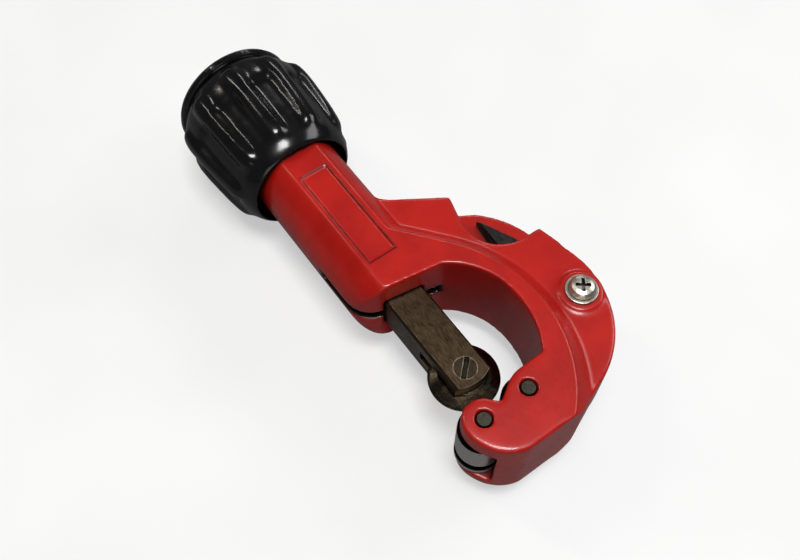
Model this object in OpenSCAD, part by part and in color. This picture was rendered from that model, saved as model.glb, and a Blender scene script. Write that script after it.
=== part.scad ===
// Tube cutter with a C-shaped cast frame, telescoping feed knob and folding reamer.
// Millimetres. +X runs along the feed axis from the knob to the rollers, +Z is the normal of the
// frame's main face. The origin is the centre of the cutter wheel, with the wheel close to the rollers.

/* [Frame] */
// half thickness of the raised band, the sleeve's flats and the roller lobe
band_half = 12.8; // [12.6:0.1:13.1]
// half thickness of the outer plates
plate_half = 8.0; // [7.0:0.5:9.0]
// half width of the sleeve across its rounded sides
sleeve_half = 12.1; // [11.8:0.1:12.3]
// half width of the flat strip along the sleeve
strip_half = 5.4; // [5.0:0.1:5.6]
// rear end of the sleeve
sleeve_rear_x = -102.2; // [-102.4:0.1:-101.8]
// mouth of the sleeve on the feed axis, where the slide comes out
mouth_x = -24.9; // [-25.5:0.1:-24.5]
// lean of the mouth away from square, in degrees
mouth_lean = 9; // [0:0.5:10]
// radius of the sleeve's front corner, on the open side
mouth_corner_r = 7.5; // [5.0:0.1:8.0]
// depth of the recessed panel on the main face
panel_depth = 0.5; // [0.3:0.1:0.8]
// height of the wheel slit through the sleeve
slit_h = 3.2; // [3.0:0.1:3.6]
// rear end of the wheel slit
slit_rear_x = -44.5; // [-48:0.5:-42]

/* [Arch] */
// radius of the throat at its back
throat_r = 19.5; // [19.0:0.5:20.0]
// radius of the throat towards the rollers
throat_top_r = 25.0; // [25.0:0.5:26.0]
// radius of the outer plates around the arch
plate_r = 27.1; // [26.5:0.1:27.5]
// radius of the raised band's outer edge where the slope meets the plate
band_foot_r = 42.4; // [42.0:0.1:43.0]
// radius of the raised band's outer edge on the top face
band_top_r = 38.3; // [38.0:0.1:39.0]
// radius of the thumb scallop over the reamer's tip
scallop_r = 10.3; // [9.5:0.1:10.6]

/* [Rollers] */
// distance of both roller axes from the origin along the feed axis
roller_x = 14.5; // [14.4:0.1:14.9]
// distance of each roller axis from the feed axis
roller_y = 6.5; // [6.4:0.1:6.8]
// roller radius
roller_r = 5.8; // [5.6:0.1:6.0]
// lower end of each roller
roller_bottom = -8.8; // [-9.0:0.1:-8.6]
// upper end of each roller
roller_top = 6.6; // [6.4:0.1:6.8]
// depth of the flare groove around each roller
groove_depth = 1.1; // [0.8:0.1:1.4]
// roller pin radius
pin_r = 1.9; // [1.8:0.05:2.0]

/* [Slide and wheel] */
// half width of the slide bar
slide_half_y = 5.2; // [5.1:0.05:5.25]
// half height of the slide bar
slide_half_z = 5.66; // [5.5:0.02:5.7]
// rear end of the slide bar
slide_rear_x = -65; // [-65.0:0.5:-64.0]
// middle of the slide bar's curved nose
slide_nose_x = 4.6; // [4.4:0.1:4.8]
// width of the fork's slot
fork_slot = 4.0; // [3.9:0.1:4.4]
// cutter wheel radius
wheel_r = 9.0; // [8.8:0.1:9.0]
// radius of the wheel axle
axle_r = 2.0; // [1.9:0.05:2.1]
// radius of the axle's slotted head
axle_head_r = 2.95; // [2.8:0.05:3.1]

/* [Feed] */
// outer radius of the feed screw's thread
screw_r = 4.0; // [3.9:0.05:4.1]
// thread pitch
screw_pitch = 2.0; // [1.75:0.25:2.0]
// radius of the screw's journal inside the slide bar
journal_r = 3.0; // [2.9:0.05:3.1]

/* [Knob] */
// front rim of the knob
knob_front_x = -72.2; // [-72.4:0.1:-72.0]
// radius of the hollow that slides over the sleeve
knob_bore_r = 14.4; // [14.2:0.1:14.6]
// number of grip ribs
rib_count = 10; // [8:1:10]
// width of each grip rib
rib_w = 7.6; // [6.8:0.2:8.4]
// radius of the end cap
cap_r = 17.7; // [17.4:0.1:18.0]

/* [Reamer] */
// half thickness of the blade
blade_half = 1.2; // [1.0:0.05:1.2]
// half height of the slot between the plates
blade_slot_half = 1.3; // [1.3:0.05:1.4]
// radius of the blade's round heel
heel_r = 5.0; // [4.5:0.1:5.2]
// radius of the pan-head screw's head
pan_head_r = 3.3; // [3.1:0.1:3.5]

/* [Hidden] */
$fn = 96;
run_fit = 0.05;
seat_fit = 0.02;
far = 200;

// outlines of the cast frame, in plan
guard_far_y = 60;
throat_c = [-6.7, 0.2];
throat_top_c = [-5.2, -5.3];
hook_x = 9.4;
plate_c = [-3.5, 14.6];
guard_c = [-17.4, 15.1];
guard_r = 26.0;
waist_r = 7;
waist_c = [-55.3, 16.6];
waist_angle = 57;
guard_edge = 15;
band_c = [-3.2, -14.2];
scallop_c = [-29.8, 33.9];
nose_r = 5.3;
hook_r = 4.8;
lobe_c = [14, 0.45];
lobe_r = 12.4;
lobe_right_x = 26;
notch_x = 13.3;
flare_start = [-34.2, 24.55];
flare_end = [-45, 27.6];
tip_right = [-19.5, 39.2];
tip_edge = [-7, 41.8];

// straight slope between the sleeve's flat and the outer plate, tangent to the band's cone
slope_angle = 128.8;
slope_offset = band_c[0] * cos(slope_angle) + band_c[1] * sin(slope_angle);
slope_end = band_c[0] * sin(slope_angle) - band_c[1] * cos(slope_angle);

// section of the sleeve: two wide arcs cut off by the flats
side_c = (pow(sleeve_half, 2) - pow(strip_half, 2) - pow(band_half, 2)) / (2 * (strip_half - sleeve_half));
side_r = sleeve_half + side_c;

// recessed panel
panel_x = [-65.3, -33.7];
panel_y = [-4.1, 3.9];

// roller slot and pins
slot_bottom = roller_bottom - 0.3;
slot_top = roller_top + 0.5;
slot_x = 22.2;
slot_y = 13.4;
pin_end = band_half - 0.15;
pin_recess_r = 2.2;
pin_recess = 0.9;
groove_z = [-6.6, -4.2];
roller_edge = 0.5;

// feed
slit_inner_y = 10.4;
bore_half_y = slide_half_y + run_fit;
bore_half_z = slide_half_z + run_fit;
bush_x = -95;
bush_r = 8.0;
washer_t = 1.0;
washer_r = 4.9;
shoulder_x = slide_rear_x - washer_t;
journal_end_x = -55;
thread_depth = 0.9;
neck_x = -60;
neck_r = 2.1;
cross_pin_r = 1.1;
cross_pin_y = neck_r + cross_pin_r + run_fit;
drive_x = -103.7;
seat_x = -105.9;
drive_half = 2.8;
stud_r = 2.5;
stud_end_x = -108.7;
nut_washer_t = 0.7;

// knob
knob_rear_x = -107.1;
recess_r = 13.5;
recess_x = -104.9;
nut_pad_r = 7.0;
rib_front_x = -75.3;
rib_rear_x = -104.8;
rib_phase = 26;
cap_rear_x = -110.2;
cap_inner_x = -109.2;
spigot_x = -105.3;
spigot_wall = 1.5;

// fork and wheel
fork_root_x = -11.2;
nose_arc_r = 9.8;
edge = 0.6;
hub_r = 5.0;
hub_half = 1.9;
rim_half = 1.3;
rim_r = 6.6;
axle_head_h = 1.1;
slot_w = 1.4;

// reamer
pivot = [1.35, 35.05];
blade_tip = [-33.7, 30.4];
boss_r = 5.6;
boss_h = 0.8;
reamer_screw_r = 2.0;
flat_washer_r = 4.15;
flat_washer_t = 0.8;
pan_head_h = 2.2;
spring_r = 4.6;
spring_t = 0.3;
spring_rise = 0.25;
spring_pocket = 0.62;
slot_wall_r = 41.6;
slot_left_x = -42;
cross_slot_w = 0.9;
cross_slot_l = 3.8;
cross_turn = 52;

// ---- helpers ----

// a solid of revolution about the X axis; the profile holds [radius, x] points
module turned(profile) {
    rotate([0, 90, 0]) rotate_extrude() polygon(profile);
}

// a solid of revolution about a vertical axis; the profile holds [radius, z] points
module spun(profile) {
    rotate_extrude() polygon(profile);
}

// a cylinder along X from x0 to x1
module rod(x0, x1, r) {
    translate([min(x0, x1), 0, 0]) rotate([0, 90, 0]) cylinder(h = abs(x1 - x0), r = r);
}

// a cylinder along Z from z0 to z1, standing on a point in plan
module post(at, z0, z1, r) {
    translate([at[0], at[1], z0]) cylinder(h = z1 - z0, r = r);
}

// a box between two corners
module block(low, high) {
    translate(low) cube(high - low);
}

// a disc in plan
module disc(at, r) {
    translate(at) circle(r = r);
}

// a strip of the plan between two x values
module strip(x0, x1, y0 = -far, y1 = far) {
    translate([x0, y0]) square([x1 - x0, y1 - y0]);
}

// ---- frame ----

// the point of the sleeve's leaning mouth at a given y
function mouth_at(y) = [mouth_x + y * tan(mouth_lean), y];

module throat_plan() {
    intersection() {
        disc(throat_c, throat_r);
        polygon([mouth_at(-far), mouth_at(25), [-4, 25], [-4, -far]]);
    }
    intersection() {
        disc(throat_top_c, throat_top_r);
        strip(-6, hook_x);
    }
    polygon([mouth_at(-far), mouth_at(throat_c[1]), [hook_x, throat_c[1]], [hook_x, -far]]);
    strip(0, roller_x, -far, roller_y);
}

module lobe_plan() {
    disc([roller_x, -roller_y], nose_r);
    disc([roller_x, roller_y], hook_r);
    intersection() {
        disc(lobe_c, lobe_r);
        strip(roller_x, lobe_right_x, -far, 0);
    }
    polygon([
        [roller_x - nose_r * cos(45), -roller_y + nose_r * sin(45)], [notch_x, -0.5],
        [roller_x - hook_r * cos(35), roller_y - hook_r * sin(35)], [hook_x, roller_y],
        [hook_x, 16], [20, 23], [21.6, 24.4], [lobe_right_x, 13.7], [lobe_right_x, -2.6],
        [roller_x, -roller_y]
    ]);
}

// the guard over the reamer's tip, blended into the sleeve's side
module guard_plan() {
    along = [cos(waist_angle), sin(waist_angle)];
    waist_end = waist_c + waist_r * [along[1], -along[0]];
    edge_end = waist_end + guard_edge * along;
    difference() {
        union() {
            intersection() {
                disc(guard_c, guard_r);
                polygon([edge_end, edge_end + 5 * along, [-20, guard_far_y], [0, guard_far_y], [0, 0]]);
            }
            polygon([
                [waist_c[0], 0], [waist_c[0], waist_c[1] - waist_r], waist_end, edge_end,
                [plate_c[0] - 20, edge_end[1]], [plate_c[0] - 20, 0]
            ]);
        }
        disc(waist_c, waist_r);
    }
}

module sleeve_section() {
    intersection() {
        disc([-side_c, 0], side_r);
        disc([side_c, 0], side_r);
        square([2 * sleeve_half, 2 * band_half], center = true);
    }
}

module sleeve_plan() {
    // the corner reaches just past the mouth, which the throat cuts
    past = 0.02;
    spare = 5;
    lean = [cos(mouth_lean), -sin(mouth_lean)];
    corner = mouth_at(mouth_corner_r - sleeve_half) - [(mouth_corner_r - past) / cos(mouth_lean), 0];
    strip(sleeve_rear_x, corner[0]);
    disc(corner, mouth_corner_r);
    polygon([
        corner, corner + (mouth_corner_r + spare) * lean, mouth_at(2 * sleeve_half) + [spare, 0],
        [corner[0], 2 * sleeve_half]
    ]);
}

module sleeve() {
    intersection() {
        translate([sleeve_rear_x, 0, 0]) rotate([90, 0, 90])
            linear_extrude(-sleeve_rear_x) sleeve_section();
        translate([0, 0, -band_half]) linear_extrude(2 * band_half) sleeve_plan();
    }
}

// what raises the band above the outer plate: a cone, and a straight slope tangent to it
module band_limit() {
    rise = band_half - plate_half;
    translate([band_c[0], band_c[1], plate_half]) cylinder(h = rise, r1 = band_foot_r, r2 = band_top_r);
    rotate([0, 0, slope_angle]) rotate([90, 0, 0]) translate([0, 0, slope_end - far])
        linear_extrude(far) polygon([
            [slope_offset, plate_half - 0.5], [slope_offset + band_foot_r, plate_half - 0.5],
            [slope_offset + band_foot_r, plate_half], [slope_offset + band_top_r, band_half],
            [slope_offset, band_half]
        ]);
}

// a plan of the casting at its two levels: the outer plate and the raised band on both faces
module cast_layers() {
    translate([0, 0, -plate_half]) linear_extrude(2 * plate_half) children();
    for (face = [0, 1]) mirror([0, 0, face]) intersection() {
        translate([0, 0, plate_half - 1]) linear_extrude(band_half - plate_half + 1) children();
        band_limit();
    }
}

module casting() {
    difference() {
        union() {
            sleeve();
            cast_layers() {
                disc(plate_c, plate_r);
                guard_plan();
            }
        }
        translate([0, 0, -far / 2]) linear_extrude(far) throat_plan();
    }
    cast_layers() lobe_plan();
    post(pivot, 0, plate_half + boss_h, boss_r);
}

module reamer_slot() {
    translate([0, 0, -blade_slot_half]) linear_extrude(2 * blade_slot_half) difference() {
        union() {
            polygon([
                [slot_left_x, 15], [pivot[0], 26], [2.9, 30], [40, 41.35], [40, 60], [slot_left_x, 60]
            ]);
            disc(pivot, heel_r + 0.6);
        }
        disc(band_c, slot_wall_r);
    }
    translate([0, 0, blade_slot_half - 0.1]) linear_extrude(band_half) {
        disc(scallop_c, scallop_r);
        polygon([
            flare_start, flare_end, [flare_end[0], far], [tip_edge[0], far], tip_edge, tip_right,
            [tip_right[0], scallop_c[1]], scallop_c
        ]);
    }
    post(pivot, -blade_slot_half - spring_pocket, 0, spring_r + 0.2);
}

module frame() {
    color("firebrick") difference() {
        casting();
        // slide bore, bush seat and wheel slit
        block([bush_x, -bore_half_y, -bore_half_z], [mouth_x + 3, bore_half_y, bore_half_z]);
        rod(sleeve_rear_x - 1, bush_x, bush_r + seat_fit);
        block([slit_rear_x, -far / 2, -slit_h / 2], [mouth_x + 3, slit_inner_y, slit_h / 2]);
        // recessed panel
        block(
            [panel_x[0], panel_y[0], band_half - panel_depth],
            [panel_x[1], panel_y[1], band_half + 1]
        );
        // roller slot and pin holes
        block([0, -far / 2, slot_bottom], [slot_x, slot_y, slot_top]);
        for (side = [-1, 1]) {
            post([roller_x, side * roller_y], -far / 2, far / 2, pin_r + seat_fit);
            for (end = [0, 1]) mirror([0, 0, end])
                post([roller_x, side * roller_y], band_half - pin_recess, band_half + 1, pin_recess_r);
        }
        // reamer slot, scallop and pivot hole
        reamer_slot();
        post(pivot, -plate_half - 1, far / 2, reamer_screw_r + run_fit);
    }
}

module feed_bush() {
    color("goldenrod") difference() {
        rod(sleeve_rear_x, bush_x, bush_r);
        rod(sleeve_rear_x - 1, bush_x + 1, screw_r + run_fit);
    }
}

// ---- rollers ----

module roller_pin(side) {
    color("dimgray") translate([roller_x, side * roller_y, 0]) spun([
        [0, -pin_end], [pin_r - 0.3, -pin_end], [pin_r, -pin_end + 0.3],
        [pin_r, pin_end - 0.3], [pin_r - 0.3, pin_end], [0, pin_end]
    ]);
}

module roller(side) {
    inner = roller_r - groove_depth;
    color("silver") translate([roller_x, side * roller_y, 0]) difference() {
        spun([
            [0, roller_bottom], [roller_r - roller_edge, roller_bottom],
            [roller_r, roller_bottom + roller_edge],
            [roller_r, groove_z[0] - 0.4], [inner, groove_z[0] + 0.2], [inner, groove_z[1] - 0.2],
            [roller_r, groove_z[1] + 0.4], [roller_r, roller_top - roller_edge],
            [roller_r - roller_edge, roller_top], [0, roller_top]
        ]);
        post([0, 0], roller_bottom - 1, roller_top + 1, pin_r + run_fit);
    }
}

// ---- slide and cutter wheel ----

module slide_plan() {
    intersection() {
        strip(slide_rear_x, slide_nose_x, -slide_half_y, slide_half_y);
        union() {
            strip(slide_rear_x, slide_nose_x - nose_arc_r);
            disc([slide_nose_x - nose_arc_r, 0], nose_arc_r);
        }
    }
}

module slide_section() {
    y = slide_half_y;
    z = slide_half_z;
    polygon([
        [-y + edge, -z], [y - edge, -z], [y, -z + edge], [y, z - edge],
        [y - edge, z], [-y + edge, z], [-y, z - edge], [-y, -z + edge]
    ]);
}

module slide_bar() {
    color("darkslategray") difference() {
        intersection() {
            translate([slide_rear_x, 0, 0]) rotate([90, 0, 90])
                linear_extrude(slide_nose_x - slide_rear_x) slide_section();
            translate([0, 0, -slide_half_z]) linear_extrude(2 * slide_half_z) slide_plan();
        }
        block(
            [fork_root_x, -slide_half_y - 1, -fork_slot / 2],
            [slide_nose_x + 1, slide_half_y + 1, fork_slot / 2]
        );
        post([0, 0], -slide_half_z - 1, slide_half_z + 1, axle_r + seat_fit);
        post([0, 0], slide_half_z - axle_head_h, slide_half_z + 1, axle_head_r + run_fit);
        rod(slide_rear_x - 1, journal_end_x + 0.5, journal_r + run_fit);
        for (side = [-1, 1])
            post([neck_x, side * cross_pin_y], -slide_half_z - 1, slide_half_z + 1, cross_pin_r + seat_fit);
    }
}

module cross_pins() {
    color("gray") for (side = [-1, 1])
        post([neck_x, side * cross_pin_y], -slide_half_z + 0.2, slide_half_z - 0.2, cross_pin_r);
}

module thrust_washer() {
    color("silver") difference() {
        rod(shoulder_x + run_fit, slide_rear_x - run_fit, washer_r);
        rod(shoulder_x - 1, slide_rear_x + 1, journal_r + run_fit);
    }
}

module wheel_axle() {
    color("dimgray") difference() {
        union() {
            post([0, 0], -slide_half_z + 0.3, slide_half_z - axle_head_h / 2, axle_r);
            post([0, 0], slide_half_z - axle_head_h + seat_fit, slide_half_z, axle_head_r);
        }
        rotate([0, 0, -47]) block(
            [-axle_head_r - 1, -slot_w / 2, slide_half_z - 0.7],
            [axle_head_r + 1, slot_w / 2, slide_half_z + 1]
        );
    }
}

module cutter_wheel() {
    color("slategray") difference() {
        spun([
            [0, -hub_half], [hub_r, -hub_half], [hub_r, -rim_half], [rim_r, -rim_half], [wheel_r, -0.06],
            [wheel_r, 0.06], [rim_r, rim_half], [hub_r, rim_half], [hub_r, hub_half], [0, hub_half]
        ]);
        post([0, 0], -hub_half - 1, hub_half + 1, axle_r + run_fit);
    }
}

// ---- feed screw and knob ----

// one [radius, x] polyline of thread crests and roots between two x values
function thread_points(x0, x1, r, depth, pitch) = [
    for (i = [0 : floor((x1 - x0) / pitch) - 1])
        each [[r, x0 + i * pitch + 0.35 * pitch], [r - depth, x0 + i * pitch + 0.7 * pitch],
              [r - depth, x0 + i * pitch + 0.8 * pitch], [r, x0 + (i + 1) * pitch]]
];

module feed_screw() {
    neck = [neck_x - cross_pin_r - 0.1, neck_x + cross_pin_r + 0.1];
    color("silver") {
        turned(concat(
            [[0, seat_x], [drive_half - 0.1, seat_x], [drive_half - 0.1, drive_x], [screw_r, drive_x]],
            thread_points(drive_x + 1, shoulder_x - 1, screw_r, thread_depth, screw_pitch),
            [
                [screw_r, shoulder_x], [journal_r, shoulder_x], [journal_r, neck[0]], [neck_r, neck[0]],
                [neck_r, neck[1]], [journal_r, neck[1]], [journal_r, journal_end_x], [0, journal_end_x]
            ]
        ));
        block([seat_x, -drive_half, -drive_half], [drive_x + 0.5, drive_half, drive_half]);
        rod(stud_end_x, seat_x + 0.5, stud_r);
    }
}

module knob_core() {
    difference() {
        turned([
            [0, knob_rear_x], [16.8, knob_rear_x], [17.3, -106.3], [18.3, -104.8], [19.0, -102.5],
            [19.3, -99.5], [19.3, -96.6], [18.9, -96.0], [18.2, -95.6], [18.1, -92], [17.8, -85],
            [17.3, -79], [16.9, -76], [16.3, -74.5], [15.6, -73.2], [15.0, -72.5], [14.6, knob_front_x],
            [0, knob_front_x]
        ]);
        rod(drive_x, knob_front_x + 1, knob_bore_r);
    }
}

// the ribs' crest line, turned about the feed axis
module rib_crest() {
    difference() {
        turned([
            [0, rib_rear_x], [18.7, rib_rear_x], [19.6, -104.2], [20.4, -102.3], [20.8, -99], [20.7, -95],
            [20.3, -90], [19.7, -84], [19.0, -79.5], [18.4, -77.4], [17.6, -76.2], [17.0, rib_front_x],
            [0, rib_front_x]
        ]);
        rod(rib_rear_x - 1, rib_front_x + 1, 15.5);
    }
}

module rib_plan() {
    half = rib_w / 2;
    disc([rib_front_x - half, 0], half);
    disc([rib_rear_x + half, 0], half);
    strip(rib_rear_x + half, rib_front_x - half, -half, half);
}

module knob() {
    color("black") difference() {
        union() {
            knob_core();
            for (i = [0 : rib_count - 1]) intersection() {
                rib_crest();
                rotate([rib_phase - 90 + i * 360 / rib_count, 0, 0]) linear_extrude(30) rib_plan();
            }
        }
        difference() {
            rod(knob_rear_x - 1, recess_x, recess_r);
            rod(seat_x, recess_x + 1, nut_pad_r);
        }
        block(
            [seat_x - 1, -drive_half - run_fit, -drive_half - run_fit],
            [drive_x + 1, drive_half + run_fit, drive_half + run_fit]
        );
    }
}

module knob_washer() {
    color("silver") difference() {
        rod(seat_x - nut_washer_t, seat_x, 5.5);
        rod(seat_x - 2, seat_x + 1, stud_r + 0.1);
    }
}

module knob_nut() {
    color("silver") difference() {
        translate([stud_end_x, 0, 0]) rotate([0, 90, 0])
            cylinder(h = seat_x - nut_washer_t - stud_end_x, r = 4.6, $fn = 6);
        rod(stud_end_x - 1, seat_x + 1, stud_r + seat_fit);
    }
}

module knob_cap() {
    color("black") difference() {
        turned([
            [0, cap_rear_x], [cap_r - 1.6, cap_rear_x], [cap_r - 0.5, cap_rear_x + 0.5],
            [cap_r, cap_rear_x + 1.5],
            [cap_r - 0.2, knob_rear_x - 0.5], [cap_r - 1, knob_rear_x], [recess_r - run_fit, knob_rear_x],
            [recess_r - run_fit, spigot_x], [0, spigot_x]
        ]);
        rod(cap_inner_x, spigot_x + 1, recess_r - run_fit - spigot_wall);
    }
}

// ---- reamer ----

module blade_plan() {
    disc(pivot, heel_r);
    polygon([
        blade_tip, [-26.5, 29.3], [-8, 28.9], [1.2, 30.4], [pivot[0] + 3, pivot[1] + 0.2],
        [0.8, 39.6], [-12, 38.4], [-23.1, 35.3]
    ]);
}

module reamer_blade() {
    color("dimgray") difference() {
        translate([0, 0, -blade_half]) linear_extrude(2 * blade_half) blade_plan();
        post(pivot, -far / 2, far / 2, reamer_screw_r + run_fit);
        // bevel ground along the scraping edge
        translate([blade_tip[0], blade_tip[1], 0]) rotate([0, 0, -3.3]) rotate([90, 0, 90])
            translate([0, 0, -5]) linear_extrude(30)
                polygon([[-3, -2.8], [0.6, blade_half], [0.6, 3], [-3, 3]]);
    }
}

module reamer_screw() {
    head_z = plate_half + boss_h + flat_washer_t;
    color("gainsboro") translate([pivot[0], pivot[1], 0]) difference() {
        spun([
            [0, -plate_half + 0.4], [reamer_screw_r, -plate_half + 0.4], [reamer_screw_r, head_z],
            [pan_head_r, head_z], [pan_head_r, head_z + 1.1], [pan_head_r - 0.5, head_z + 1.8],
            [pan_head_r - 1.5, head_z + pan_head_h], [0, head_z + pan_head_h]
        ]);
        for (turn = [0, 90]) rotate([0, 0, turn + cross_turn]) block(
            [-cross_slot_l / 2, -cross_slot_w / 2, head_z + 0.6],
            [cross_slot_l / 2, cross_slot_w / 2, head_z + pan_head_h + 1]
        );
    }
}

module reamer_washer() {
    low = plate_half + boss_h;
    color("silver") difference() {
        post(pivot, low, low + flat_washer_t, flat_washer_r);
        post(pivot, low - 1, low + 3, reamer_screw_r + 0.1);
    }
}

module reamer_spring_washer() {
    low = -blade_slot_half - spring_pocket + seat_fit;
    color("silver") translate([pivot[0], pivot[1], low]) spun([
        [reamer_screw_r + 0.15, spring_rise], [spring_r, 0], [spring_r, spring_t],
        [reamer_screw_r + 0.15, spring_rise + spring_t]
    ]);
}

// ---- sub-parts ----

frame();
feed_bush();
roller_pin(-1);  // roller_pin_outer
roller_pin(1);  // roller_pin_inner
roller(-1);  // roller_outer
roller(1);  // roller_inner
slide_bar();
cross_pins();
thrust_washer();
wheel_axle();
cutter_wheel();
feed_screw();
knob();
knob_washer();
knob_nut();
knob_cap();
reamer_blade();
reamer_screw();
reamer_washer();
reamer_spring_washer();
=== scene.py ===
"""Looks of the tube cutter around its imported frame: painted casting, moulded knob and steel parts.

Everything is in the frame of the CAD, in metres unless a name or a comment says mm. The casting and the
knob are new pieces with soft cast and moulded edges. Every other CAD node stays, with its own material
and, on most, a small bevel.
"""

import math

import bmesh
import bpy
import numpy as np
from mathutils import Matrix, Vector


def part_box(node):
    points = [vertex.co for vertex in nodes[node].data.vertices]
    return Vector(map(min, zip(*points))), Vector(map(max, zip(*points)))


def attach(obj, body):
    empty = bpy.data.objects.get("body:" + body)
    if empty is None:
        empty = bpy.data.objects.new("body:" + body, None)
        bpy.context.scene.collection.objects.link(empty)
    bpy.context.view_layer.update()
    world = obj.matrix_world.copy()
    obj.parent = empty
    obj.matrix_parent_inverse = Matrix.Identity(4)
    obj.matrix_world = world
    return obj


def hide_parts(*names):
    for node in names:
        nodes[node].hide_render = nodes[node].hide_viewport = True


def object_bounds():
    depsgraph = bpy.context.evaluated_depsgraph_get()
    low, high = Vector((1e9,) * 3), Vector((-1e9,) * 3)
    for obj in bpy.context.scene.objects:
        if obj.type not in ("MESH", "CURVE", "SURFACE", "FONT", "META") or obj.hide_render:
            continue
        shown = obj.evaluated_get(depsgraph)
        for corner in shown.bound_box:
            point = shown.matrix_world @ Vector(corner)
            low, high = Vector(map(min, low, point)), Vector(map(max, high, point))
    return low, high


MM = 0.001
# split vertices of a CAD mesh lie closer together than this
WELD = 0.002 * MM

# Places are in mm. Each box is its low and its high corner.

# beyond any surface of the tool
FAR = 200
# slit through the sleeve and its mouth for the wheel: what its inside, painted near black as shade, and its
# crisp edges cover
SHADED_WHEEL_SLIT = ((-46, -FAR, -1.75), (-18, 11, 1.75))
SLIT_EDGES = ((-46, -14, -1.7), (-18, 11, 1.7))
# slot in the lobe that holds both rollers
ROLLER_SLOT = ((8, -14, -9.2), (22.4, 13.6, 7.2))
# parts of the casting with the largest radii: the roller lobe and the sleeve's front corner
LOBE = ((10, -14, -14), (27, 6, 14))
SLEEVE_CORNER = ((-32, -13, -14), (-20, -7, 14))
# recessed panel on the sleeve's main face
PANEL_LOW = (-65.3, -4.1, 12.0)
PANEL_HIGH = (-33.7, 3.9, 12.8)

# grip ribs of the knob: their number, the turn of the first, half width, and the middles of their ends
RIB_COUNT = 10
RIB_ANGLE = math.radians(26 - 90)
RIB_HALF = 3.8
RIB_X = (-104.8 + RIB_HALF, -75.3 - RIB_HALF)
# span of the ribs along the feed axis
RIB_SPAN = (-105.0, -75.0)
# the knob's bore lies within the first radius, and its outer surface beyond the second
KNOB_BORE_R = 14.6
KNOB_SKIN_R = 15.7

# heights on each roller painted near black as shade, and made rougher: its groove, and its edge under the
# upper plate
ROLLER_SHADE_BANDS = ((-7.05, -3.9), (5.5, 7.0))

# sides of the even quads that the soft-edged pieces are made of
CAST_VOXEL = 0.4 * MM
KNOB_VOXEL = 0.32 * MM

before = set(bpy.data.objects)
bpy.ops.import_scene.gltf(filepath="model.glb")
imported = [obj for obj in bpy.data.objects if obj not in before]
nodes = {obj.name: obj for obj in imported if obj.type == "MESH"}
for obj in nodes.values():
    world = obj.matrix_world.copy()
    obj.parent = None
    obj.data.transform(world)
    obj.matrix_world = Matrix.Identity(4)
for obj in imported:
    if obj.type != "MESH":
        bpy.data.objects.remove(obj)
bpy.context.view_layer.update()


# ---- soft-edged pieces from a CAD node ----


def merged_copy(node, name):
    """A new object with the node's surface, its split vertices merged."""
    mesh = nodes[node].data.copy()
    mesh.name = name
    bm = bmesh.new()
    bm.from_mesh(mesh)
    bmesh.ops.remove_doubles(bm, verts=bm.verts, dist=WELD)
    bm.to_mesh(mesh)
    bm.free()
    obj = bpy.data.objects.new(name, mesh)
    bpy.context.scene.collection.objects.link(obj)
    return obj


def voxel_mesh(obj, voxel):
    """Replaces the object's mesh by an even quad mesh of the same surface."""
    remesh = obj.modifiers.new("voxels", "REMESH")
    remesh.mode = "VOXEL"
    remesh.voxel_size = voxel
    remesh.use_smooth_shade = True
    graph = bpy.context.evaluated_depsgraph_get()
    mesh = bpy.data.meshes.new_from_object(obj.evaluated_get(graph))
    obj.modifiers.clear()
    mesh.name = obj.name
    obj.data = mesh


def points_of(mesh):
    """The vertices' places in metres, one row each."""
    co = np.empty(len(mesh.vertices) * 3)
    mesh.vertices.foreach_get("co", co)
    return co.reshape(-1, 3)


def relax(mesh, strength, rounds):
    """Rounds the edges: each vertex moves towards the mean of its neighbours, by its own strength."""
    ends = np.empty(len(mesh.edges) * 2, np.int64)
    mesh.edges.foreach_get("vertices", ends)
    a, b = ends.reshape(-1, 2).T
    total = len(mesh.vertices)
    count = np.bincount(a, minlength=total) + np.bincount(b, minlength=total)
    co = points_of(mesh)
    for _ in range(rounds):
        for axis in range(3):
            c = co[:, axis]
            near = np.bincount(a, c[b], total) + np.bincount(b, c[a], total)
            co[:, axis] = c + strength * (near / count - c)
    mesh.vertices.foreach_set("co", co.ravel())
    mesh.update()


def fade(distance, inner, outer):
    """0 within inner, 1 beyond outer, smooth between."""
    t = np.clip((distance - inner) / (outer - inner), 0, 1)
    return t * t * (3 - 2 * t)


def outside_box(p, low, high):
    """Distance from points to a box, 0 inside it."""
    gap = np.maximum(np.maximum(np.array(low) - p, p - np.array(high)), 0)
    return np.linalg.norm(gap, axis=1)


def plan_distance(p, x, y):
    """Distance from points to a line along Z."""
    return np.hypot(p[:, 0] - x, p[:, 1] - y)


def middle(node):
    """Centre of a node's box at rest, in mm."""
    low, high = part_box(node)
    return (low + high) / (2 * MM)


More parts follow.
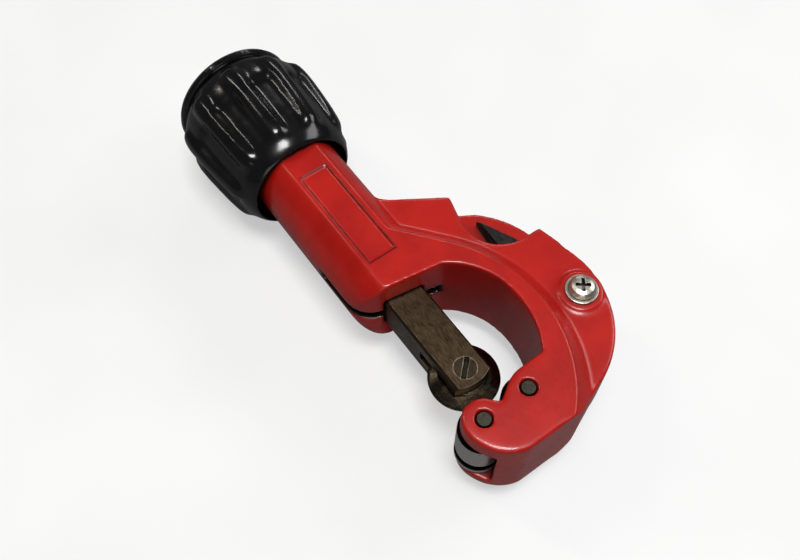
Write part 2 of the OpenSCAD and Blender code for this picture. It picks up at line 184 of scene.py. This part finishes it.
def cast_strength(p):
    """How far each place of the casting is rounded: fine at bores and slots, full on the outer edges."""
    height = np.abs(p[:, 2])
    # the edges of the outer plates are softer than those of the thicker band
    strength = 0.17 + 0.27 * fade(p[:, 1], 8, 14) * (1 - fade(height, 10, 12))
    lobe = 1 - fade(outside_box(p, *LOBE), 0, 4)
    corner = 1 - fade(outside_box(p, *SLEEVE_CORNER), 0, 4)
    strength += 0.4 * np.maximum(lobe, corner)

    # crisp rims around the roller pins and the reamer's boss
    for node in ("roller_pin_outer", "roller_pin_inner"):
        x, y, _ = middle(node)
        strength *= 0.1 + 0.9 * fade(plan_distance(p, x, y), 2.5, 3.2)
    x, y, _ = middle("reamer_screw")
    strength *= 0.5 + 0.5 * fade(plan_distance(p, x, y), 5.6, 6.1)
    # the slide bar's bore
    half_y, half_z = (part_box("slide_bar")[1][axis] / MM + 0.6 for axis in (1, 2))
    bore = outside_box(p, (-FAR, -half_y, -half_z), (-15, half_y, half_z))
    strength *= 0.25 + 0.75 * fade(bore, 0, 1)
    strength *= 0.2 + 0.8 * fade(outside_box(p, *SLIT_EDGES), 0.1, 1.0)
    strength *= 0.22 + 0.78 * fade(outside_box(p, *ROLLER_SLOT), 0.2, 1.2)
    # the reamer's slot, in the middle of the arch
    in_arch = (p[:, 1] > 20) | (p[:, 0] > 3)
    strength *= np.where(in_arch, 0.2 + 0.8 * fade(height, 1.6, 2.6), 1)
    # the recessed panel
    panel = outside_box(p, np.array(PANEL_LOW) - 0.7, np.array(PANEL_HIGH) + 0.7)
    strength *= 0.05 + 0.95 * fade(panel, 0.1, 1.0)
    return strength


def core_radius(x, radius, between):
    """Radius of the knob's body between its ribs, averaged in slices along the feed axis."""
    step = 0.4
    places = np.arange(RIB_SPAN[0] - step, RIB_SPAN[1] + 2 * step, step)
    means = [radius[between & (abs(x - place) < 0.75 * step)].mean() for place in places]
    return np.interp(x, places, means)


def crown_ribs(mesh):
    """Turns the flat crest of each grip rib into a crown, highest along the rib's middle."""
    p = points_of(mesh) / MM
    radius = np.hypot(p[:, 1], p[:, 2])
    turn = 2 * math.pi / RIB_COUNT
    angle = np.arctan2(-p[:, 1], p[:, 2]) - RIB_ANGLE
    off = angle - turn * np.round(angle / turn)
    ends = np.maximum(np.maximum(p[:, 0] - RIB_X[1], RIB_X[0] - p[:, 0]), 0)
    across = np.hypot(radius * np.sin(off), ends) / RIB_HALF
    crown = 1 - fade(across, 0.4, 1.0)
    between = (abs(radius * np.sin(off)) > 1.25 * RIB_HALF) & (radius > KNOB_SKIN_R)
    core = core_radius(p[:, 0], radius, between)
    rise = radius - core
    on_rib = (rise > 0) & (p[:, 0] > RIB_SPAN[0]) & (p[:, 0] < RIB_SPAN[1])
    scale = np.where(on_rib, (core + rise * crown) / np.maximum(radius, 1), 1)
    p[:, 1] *= scale
    p[:, 2] *= scale
    mesh.vertices.foreach_set("co", (p * MM).ravel())
    mesh.update()


def knob_strength(p):
    """How far each place of the knob is rounded: little in its bore, least around the screw's end."""
    radius = np.hypot(p[:, 1], p[:, 2])
    strength = 0.6 * (0.15 + 0.85 * fade(radius, KNOB_BORE_R, KNOB_BORE_R + 1))
    rear_inside = (p[:, 0] < -104) & (radius < KNOB_BORE_R - 0.1)
    return np.where(rear_inside, 0.05, strength)


casting = merged_copy("frame", "casting")
voxel_mesh(casting, CAST_VOXEL)
relax(casting.data, cast_strength(points_of(casting.data) / MM) * 0.62, 30)
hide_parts("frame")

grip = merged_copy("knob", "grip_knob")
voxel_mesh(grip, KNOB_VOXEL)
crown_ribs(grip.data)
relax(grip.data, knob_strength(points_of(grip.data) / MM), 12)
# fresh quads where the ribs' steep sides have collapsed
voxel_mesh(grip, KNOB_VOXEL)
relax(grip.data, knob_strength(points_of(grip.data) / MM), 18)
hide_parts("knob")


# ---- materials ----


def linear(*rgb):
    """Display values of 0 to 255 as scene-linear colour."""
    out = []
    for value in rgb:
        v = value / 255
        out.append(v / 12.92 if v <= 0.04045 else ((v + 0.055) / 1.055) ** 2.4)
    return (*out, 1.0)


def grey(level):
    """A scene-linear grey."""
    return (level, level, level, 1.0)


class Finish:
    """A node material under construction; sockets are passed around as values."""

    def __init__(self, name):
        self.material = bpy.data.materials.new(name)
        self.material.use_nodes = True
        self.tree = self.material.node_tree
        self.shader = next(n for n in self.tree.nodes if n.type == "BSDF_PRINCIPLED")
        self.place = self.node("ShaderNodeTexCoord").outputs["Object"]

    def node(self, kind, inputs=None, **settings):
        """A new node with its settings and inputs."""
        made = self.tree.nodes.new(kind)
        for key, value in settings.items():
            setattr(made, key, value)
        for key, value in (inputs or {}).items():
            self.feed(made.inputs[key], value)
        return made

    def feed(self, socket, value):
        """Gives an input a link or a fixed value."""
        if isinstance(value, bpy.types.NodeSocket):
            self.tree.links.new(value, socket)
        else:
            socket.default_value = value

    def set(self, **inputs):
        """Feeds the surface shader; an underscore stands for a space."""
        for key, value in inputs.items():
            self.feed(self.shader.inputs[key.replace("_", " ")], value)

    def scaled(self, x, y, z):
        """The place, stretched by a factor for each axis."""
        return self.node("ShaderNodeMapping", {"Vector": self.place, "Scale": (x, y, z)}).outputs[0]

    def noise(self, size_mm, detail=3, rough=0.5, at=None, distortion=0.0):
        """Soft random values about 0.5, with features of a size."""
        made = self.node(
            "ShaderNodeTexNoise",
            {
                "Vector": at or self.place,
                "Scale": 1 / (size_mm * MM),
                "Detail": detail,
                "Roughness": rough,
                "Distortion": distortion,
            },
        )
        return made.outputs[0]

    def cells(self, size_mm):
        """Distance to the nearest of scattered points."""
        made = self.node("ShaderNodeTexVoronoi", {"Vector": self.place, "Scale": 1 / (size_mm * MM)})
        return made.outputs["Distance"]

    def math(self, operation, a, b=0.0, clamp=False):
        """The result of one arithmetic operation."""
        made = self.node("ShaderNodeMath", operation=operation, use_clamp=clamp)
        self.feed(made.inputs[0], a)
        self.feed(made.inputs[1], b)
        return made.outputs[0]

    def span(self, value, low, high, to_low=0.0, to_high=1.0):
        """Maps a value's span low..high onto to_low..to_high, clamped and smooth."""
        made = self.node(
            "ShaderNodeMapRange",
            {"Value": value, "From Min": low, "From Max": high, "To Min": to_low, "To Max": to_high},
            interpolation_type="SMOOTHSTEP",
        )
        return made.outputs[0]

    def mix(self, share, a, b):
        """Colour a, with a share of colour b."""
        made = self.node("ShaderNodeMix", data_type="RGBA")
        self.feed(made.inputs[0], share)
        self.feed(made.inputs[6], a)
        self.feed(made.inputs[7], b)
        return made.outputs[2]

    def bump(self, height, depth_mm, normal=None):
        """A surface normal for a height, on top of another normal if one is given."""
        made = self.node("ShaderNodeBump", {"Height": height, "Distance": depth_mm * MM, "Strength": 1})
        if normal:
            self.feed(made.inputs["Normal"], normal)
        return made.outputs[0]

    def edges(self, radius_mm):
        """How strongly the surface bends within a radius: high on edges, zero on flats."""
        round_normal = self.node("ShaderNodeBevel", {"Radius": radius_mm * MM}, samples=6)
        plain = self.node("ShaderNodeNewGeometry").outputs["Normal"]
        dot = self.node("ShaderNodeVectorMath", operation="DOT_PRODUCT")
        self.feed(dot.inputs[0], round_normal.outputs[0])
        self.feed(dot.inputs[1], plain)
        return self.math("SUBTRACT", 1.0, dot.outputs["Value"], clamp=True)

    def outline(self, low, high, width_mm):
        """A thin line along the edge of a rectangle in plan, above the height low[2]."""
        place = self.node("ShaderNodeSeparateXYZ", {"Vector": self.place}).outputs
        gaps = []
        for axis in (0, 1):
            centre, half = (low[axis] + high[axis]) / 2 * MM, (high[axis] - low[axis]) / 2 * MM
            offset = self.math("ABSOLUTE", self.math("SUBTRACT", place[axis], centre))
            gaps.append(self.math("SUBTRACT", offset, half))
        away = self.math("ABSOLUTE", self.math("MAXIMUM", *gaps))
        line = self.span(away, 0.3 * width_mm * MM, width_mm * MM, 1, 0)
        return self.math("MULTIPLY", line, self.math("GREATER_THAN", place[2], low[2] * MM))

    def inside(self, low, high):
        """1 inside a box in the object's frame, 0 outside it."""
        blur_mm = 0.15
        place = self.node("ShaderNodeSeparateXYZ", {"Vector": self.place}).outputs
        mask = 1.0
        for axis in range(3):
            rise = self.span(place[axis], (low[axis] - blur_mm) * MM, (low[axis] + blur_mm) * MM)
            fall = self.span(place[axis], (high[axis] - blur_mm) * MM, (high[axis] + blur_mm) * MM, 1, 0)
            mask = self.math("MULTIPLY", mask, self.math("MULTIPLY", rise, fall))
        return mask

    def shelter(self, reach_mm):
        """Open to the sky 1, in a crevice 0."""
        return self.node("ShaderNodeAmbientOcclusion", {"Distance": reach_mm * MM}, samples=8).outputs["AO"]


def enamel():
    """Gloss red paint over a casting: soft orange peel, dust specks, painted shade where it is sheltered.
    """
    f = Finish("red_enamel")
    tone = f.noise(11, 3, 0.55)
    fine = f.noise(0.45, 4, 0.6)
    colour = f.mix(f.span(tone, 0.3, 0.7), linear(161, 12, 4), linear(180, 20, 8))
    colour = f.mix(f.span(fine, 0.48, 0.75, 0, 0.3), colour, linear(122, 12, 6))
    # paint pulls thin and light over the sharper edges
    edge = f.math("MULTIPLY", f.span(f.edges(0.5), 0.04, 0.3), f.span(fine, 0.35, 0.6, 0.2, 0.6))
    colour = f.mix(edge, colour, linear(206, 84, 64))
    # painted shade in the crevices
    colour = f.mix(f.span(f.shelter(3.0), 0.3, 0.85, 0.85, 0.0), colour, linear(56, 6, 5))
    # painted shade in the wide hollows, broken up by the random tone, and the dark line around the panel
    hollow = f.span(f.shelter(12.0), 0.25, 0.75, 0.7, 0.0)
    hollow_shade = f.math("MULTIPLY", hollow, f.span(tone, 0.25, 0.6, 0.6, 1))
    colour = f.mix(hollow_shade, colour, linear(74, 26, 20))
    broken = f.span(f.noise(4, 3, 0.6), 0.25, 0.6, 0.35, 1)
    line = f.math("MULTIPLY", f.outline(PANEL_LOW, PANEL_HIGH, 0.45), broken)
    colour = f.mix(line, colour, linear(92, 9, 7))
    # painted shade darkens the inside of the wheel's slit
    colour = f.mix(f.inside(*SHADED_WHEEL_SLIT), colour, linear(26, 5, 4))
    lumps = f.bump(f.noise(5, 2, 0.5), 0.035)
    peel = f.bump(f.noise(0.9, 3, 0.5), 0.007, lumps)
    specks = f.bump(f.span(f.cells(3.1), 0.0, 0.1, 1, 0), 0.012, peel)
    f.set(
        Base_Color=colour,
        Roughness=f.span(fine, 0.3, 0.8, 0.32, 0.46),
        IOR=1.42,
        Normal=specks,
        Coat_Weight=0.32,
        Coat_Roughness=f.span(tone, 0.3, 0.7, 0.09, 0.16),
        Coat_Normal=specks,
    )
    return f.material


def moulded_black():
    """Gloss black moulding: faint flow marks, handling scuffs on the crests."""
    f = Finish("gloss_black_moulding")
    haze = f.noise(7, 4, 0.6)
    scuffs = f.noise(0.35, 5, 0.7, f.scaled(0.16, 1, 1))
    worn = f.edges(0.9)
    colour = f.mix(f.span(haze, 0.35, 0.7), linear(7, 7, 8), linear(14, 14, 16))
    scuff = f.math("MULTIPLY", f.span(scuffs, 0.6, 0.8), f.span(worn, 0.02, 0.2))
    colour = f.mix(scuff, colour, linear(30, 29, 28))
    rough = f.math("ADD", f.span(haze, 0.3, 0.75, 0.13, 0.24), f.math("MULTIPLY", scuff, 0.12))
    waves = f.bump(f.noise(6, 2, 0.4), 0.02)
    grain = f.bump(f.noise(0.3, 3, 0.6), 0.002, waves)
    f.set(Base_Color=colour, Roughness=rough, IOR=1.52, Normal=grain)
    return f.material


def steel(
    name,
    dark,
    light,
    rough,
    stretch,
    grain_mm=0.12,
    worn=None,
    stain=None,
    metallic=1.0,
    peel_mm=0.0,
    shade_bands=(),
    rust=None,
):
    """Brushed or turned steel: lines along the axis with the smallest stretch, stains, light edges, painted
    shade in crevices.

    worn, stain and rust are the colours of the edges, of soft clouds and of fine specks; the light edges
    stand for wear and also for a painted highlight. The height bands in mm are painted near black as shade,
    and made rougher. peel_mm is the depth of a pitted skin.
    """
    f = Finish(name)
    lines = f.noise(grain_mm, 5, 0.7, f.scaled(*stretch))
    cloud = f.noise(3.2, 4, 0.6, distortion=0.6)
    colour = f.mix(f.span(lines, 0.3, 0.72), dark, light)
    if stain:
        colour = f.mix(f.span(cloud, 0.4, 0.75, 0, 0.5), colour, stain)
    if rust:
        colour = f.mix(f.span(f.noise(0.6, 4, 0.75), 0.48, 0.7, 0, 0.7), colour, rust)
    roughness = f.span(lines, 0.3, 0.75, rough - 0.07, rough + 0.09)
    roughness = f.math("ADD", roughness, f.span(cloud, 0.35, 0.7, -0.04, 0.08))
    # light edges: wear, and also a painted highlight along the edges
    if worn:
        edge = f.math("MULTIPLY", f.span(f.edges(0.35), 0.03, 0.25), f.span(cloud, 0.3, 0.6, 0.35, 1))
        colour = f.mix(edge, colour, worn)
    # painted shade in the crevices
    colour = f.mix(f.span(f.shelter(1.5), 0.4, 0.92, 0.95, 0.0), colour, linear(10, 9, 8))
    # painted shade: near-black bands at the listed heights, made rougher
    for low, high in shade_bands:
        inside = f.inside((-FAR, -FAR, low), (FAR, FAR, high))
        colour = f.mix(inside, colour, linear(10, 9, 9))
        roughness = f.math("ADD", roughness, f.math("MULTIPLY", inside, 0.35))
    scratches = f.bump(lines, 0.012)
    if peel_mm:
        scratches = f.bump(f.noise(0.5, 3, 0.6), peel_mm, scratches)
    f.set(Base_Color=colour, Metallic=metallic, Roughness=roughness, Normal=scratches)
    return f.material


# stretches of a steel's lines: turned about an axis, drawn along X, and in no direction
TURNED_Z = (0.25, 0.25, 6)
TURNED_X = (6, 0.25, 0.25)
DRAWN_X = (0.05, 1, 1)
COARSE = (0.6, 0.6, 0.6)
EVEN = (1, 1, 1)

red = enamel()
black = moulded_black()
bar_steel = steel(
    "blackened_bar",
    linear(48, 40, 32),
    linear(116, 98, 76),
    0.36,
    DRAWN_X,
    worn=linear(206, 192, 166),
    stain=linear(34, 29, 24),
    rust=linear(104, 70, 42),
)
axle_steel = steel(
    "blackened_axle",
    linear(50, 43, 34),
    linear(92, 80, 62),
    0.36,
    COARSE,
    worn=linear(226, 216, 194),
    stain=linear(36, 31, 26),
    rust=linear(70, 64, 48),
)
wheel_steel = steel(
    "oiled_wheel",
    linear(44, 42, 38),
    linear(92, 86, 74),
    0.22,
    COARSE,
    worn=linear(216, 206, 182),
    stain=linear(104, 80, 50),
)
roller_steel = steel(
    "satin_roller",
    linear(176, 172, 172),
    linear(226, 221, 221),
    0.46,
    TURNED_Z,
    worn=linear(196, 192, 190),
    shade_bands=ROLLER_SHADE_BANDS,
)
pin_steel = steel(
    "dull_pin",
    linear(44, 42, 36),
    linear(74, 70, 60),
    0.5,
    EVEN,
    0.4,
    worn=linear(132, 126, 110),
    metallic=0.85,
    peel_mm=0.02,
)
blade_steel = steel(
    "dull_blade",
    linear(40, 38, 38),
    linear(72, 68, 66),
    0.45,
    DRAWN_X,
    worn=linear(170, 165, 158),
)
zinc = steel(
    "bright_zinc",
    linear(190, 187, 174),
    linear(230, 228, 217),
    0.36,
    EVEN,
    0.3,
    worn=linear(250, 248, 240),
    stain=linear(190, 180, 156),
)
thread_zinc = steel("zinc_thread", linear(170, 168, 160), linear(218, 216, 208), 0.26, TURNED_X, 0.2)
bronze = steel("bearing_bronze", linear(150, 108, 60), linear(196, 150, 90), 0.34, TURNED_X, 0.2)

# each CAD node that stays: its material, and the width of its broken edges in mm
DRESS = {
    "feed_bush": (bronze, 0.25),
    "roller_pin_outer": (pin_steel, 0),
    "roller_pin_inner": (pin_steel, 0),
    "roller_outer": (roller_steel, 0.12),
    "roller_inner": (roller_steel, 0.12),
    "slide_bar": (bar_steel, 0.2),
    "cross_pins": (pin_steel, 0.1),
    "thrust_washer": (zinc, 0.1),
    "wheel_axle": (axle_steel, 0.12),
    "cutter_wheel": (wheel_steel, 0.08),
    "feed_screw": (thread_zinc, 0),
    "knob_washer": (zinc, 0.1),
    "knob_nut": (zinc, 0.2),
    "knob_cap": (black, 0.3),
    "reamer_blade": (blade_steel, 0.12),
    "reamer_screw": (zinc, 0.12),
    "reamer_washer": (zinc, 0.15),
    "reamer_spring_washer": (blade_steel, 0),
}


def wear(obj, material):
    """Gives the object one material."""
    obj.data.materials.clear()
    obj.data.materials.append(material)


def bevelled(obj, width_mm):
    """Breaks the sharp edges of a CAD node with modifiers, which leave its mesh alone."""
    weld = obj.modifiers.new("weld", "WELD")
    weld.merge_threshold = WELD
    if width_mm:
        bevel = obj.modifiers.new("edge", "BEVEL")
        bevel.width = width_mm * MM
        bevel.segments = 2
        bevel.limit_method = "ANGLE"
        bevel.angle_limit = math.radians(28)
        bevel.miter_outer = "MITER_ARC"
    normals = obj.modifiers.new("normals", "WEIGHTED_NORMAL")
    normals.keep_sharp = True


wear(casting, red)
wear(grip, black)
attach(casting, "frame")
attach(grip, "knob")
for name, (material, bevel_mm) in DRESS.items():
    wear(nodes[name], material)
    bevelled(nodes[name], bevel_mm)


# ---- stage: floor, light, camera ----

# about the middle of the tool's box
CENTRE = (-0.04, 0.01, 0)


def build_floor():
    """A wide pale floor just under the tool."""
    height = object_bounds()[0][2] - 0.2 * MM
    reach = 3.0
    turns = ((-1, -1), (1, -1), (1, 1), (-1, 1))
    mesh = bpy.data.meshes.new("floor")
    mesh.from_pydata([(x * reach, y * reach, height) for x, y in turns], [], [(0, 1, 2, 3)])
    floor = bpy.data.objects.new("floor", mesh)
    bpy.context.scene.collection.objects.link(floor)
    f = Finish("pale_floor")
    tone = f.span(f.noise(60, 2, 0.5), 0.3, 0.7)
    pale = f.mix(tone, grey(0.38), grey(0.41))
    # the floor throws little light back, as a floor far below the tool would
    seen = f.node("ShaderNodeLightPath").outputs["Is Camera Ray"]
    # it glows to the camera, more so far from the lamps, where it runs into the pale backdrop
    distance = f.node("ShaderNodeVectorMath", {"Vector": f.place}, operation="LENGTH").outputs["Value"]
    glow = f.math("MULTIPLY", f.span(distance, 0.35, 1.8, 0.5, 0.92), seen)
    f.set(
        Base_Color=f.mix(seen, grey(0.16), pale),
        Roughness=0.8,
        Emission_Color=grey(1),
        Emission_Strength=glow,
    )
    wear(floor, f.material)


def soft_light(name, at, size, power, colour=(1, 1, 1)):
    """A rectangular lamp at a place, facing the tool's middle."""
    data = bpy.data.lights.new(name, "AREA")
    data.shape = "RECTANGLE"
    data.size, data.size_y = size
    data.energy = power
    data.color = colour
    light = bpy.data.objects.new(name, data)
    light.location = at
    light.rotation_mode = "QUATERNION"
    light.rotation_quaternion = (Vector(CENTRE) - Vector(at)).to_track_quat("-Z", "Y")
    bpy.context.scene.collection.objects.link(light)


def world_light(level, seen_level):
    """Even light from all round, paler to the camera than to the object."""
    world = bpy.data.worlds.new("studio")
    world.use_nodes = True
    tree = world.node_tree
    strength = tree.nodes.new("ShaderNodeMapRange")
    strength.inputs["To Min"].default_value = level
    strength.inputs["To Max"].default_value = seen_level
    tree.links.new(tree.nodes.new("ShaderNodeLightPath").outputs["Is Camera Ray"], strength.inputs["Value"])
    background = tree.nodes["Background"]
    background.inputs["Color"].default_value = grey(1)
    tree.links.new(strength.outputs["Result"], background.inputs["Strength"])
    bpy.context.scene.world = world


def look_from(at, right, back, lens):
    """Puts the camera at a place in mm. It looks against back, and right points to its right."""
    camera = bpy.data.objects.new("camera", bpy.data.cameras.new("camera"))
    camera.data.lens = lens
    camera.data.sensor_width = 36
    camera.data.clip_start = 0.01
    bpy.context.scene.collection.objects.link(camera)
    right, back = Vector(right).normalized(), Vector(back).normalized()
    up = back.cross(right).normalized()
    axes = Matrix((up.cross(back), up, back)).transposed()
    camera.matrix_world = Matrix.Translation(Vector(at) * MM) @ axes.to_4x4()
    bpy.context.scene.camera = camera


build_floor()
world_light(0.09, 0.95)
soft_light("key", (0.12, -0.05, 0.88), (0.3, 0.3), 6.6)
soft_light("back", (0.1, 0.7, 0.5), (0.5, 0.3), 1.9)
soft_light("side", (0.6, -0.45, 0.25), (0.5, 0.3), 0.6)
# two narrow lamps that draw lines of light along the knob's ribs
soft_light("rim", (-0.62, 0.6, 0.5), (0.3, 0.05), 0.7)
soft_light("strip", (-0.72, -0.3, 0.8), (0.04, 0.5), 1.3, (1.0, 0.93, 0.82))
look_from(at=(62.0, -64.2, 203.5), right=(0.587, 0.810, 0.0), back=(0.399, -0.289, 0.870), lens=40.5)

bpy.context.scene.view_settings.view_transform = "Standard"
bpy.context.scene.cycles.use_denoising = True
